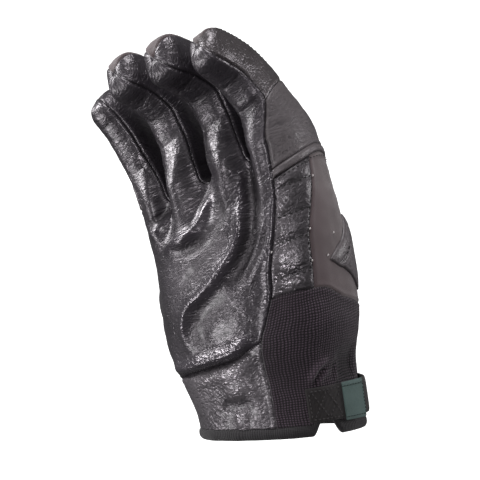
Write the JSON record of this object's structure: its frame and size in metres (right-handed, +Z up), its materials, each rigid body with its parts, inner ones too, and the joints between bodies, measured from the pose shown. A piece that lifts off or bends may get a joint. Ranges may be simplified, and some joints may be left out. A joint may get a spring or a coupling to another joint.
{
  "type": "cut-resistant work glove",
  "caption": "Left-hand leather work glove held in a worn, half-curled shape, with knit wrist, padded side guard, knuckle guard, wrist strap and an open hollow for the hand.",
  "frame": {"origin": "middle of the wrist opening", "axes": "+Z up along the picture's vertical, towards the fingers; +X towards the little-finger side; -Y out of the palm"},
  "size_m": [0.1328, 0.0951, 0.1897],
  "materials": {
    "palm_leather": "soft goat-grain leather, semi-gloss, charcoal",
    "panel_leather": "smooth leather, semi-gloss, dark grey",
    "stretch_fabric": "matte stretch woven, brownish grey",
    "knit_fabric": "matte ribbed mesh knit, near black",
    "binding_fabric": "folded woven tape, near black",
    "strap_webbing": "woven strap, matte black",
    "label_fabric": "plain dark green woven tab"
  },
  "bodies": {
    "root": {"palm": "palm_leather", "cuff_leather": "panel_leather", "side_guard": "panel_leather", "knuckle_guard": "panel_leather", "knuckle_piping": "panel_leather", "hand_back": "stretch_fabric", "wrist_knit": "knit_fabric", "cuff_binding": "binding_fabric", "thumb_front": "palm_leather", "thumb_back": "panel_leather", "little_side_strip": "panel_leather", "index_side_strip": "panel_leather", "fourchette_little_ring": "palm_leather", "fourchette_ring_middle": "palm_leather", "fourchette_middle_index": "palm_leather", "little_finger_back": "stretch_fabric", "ring_finger_back": "stretch_fabric", "middle_finger_back": "stretch_fabric", "index_finger_back": "stretch_fabric", "back_pad": "panel_leather", "wrist_strap": "strap_webbing", "strap_label": "label_fabric"}
  },
  "joints": []
}
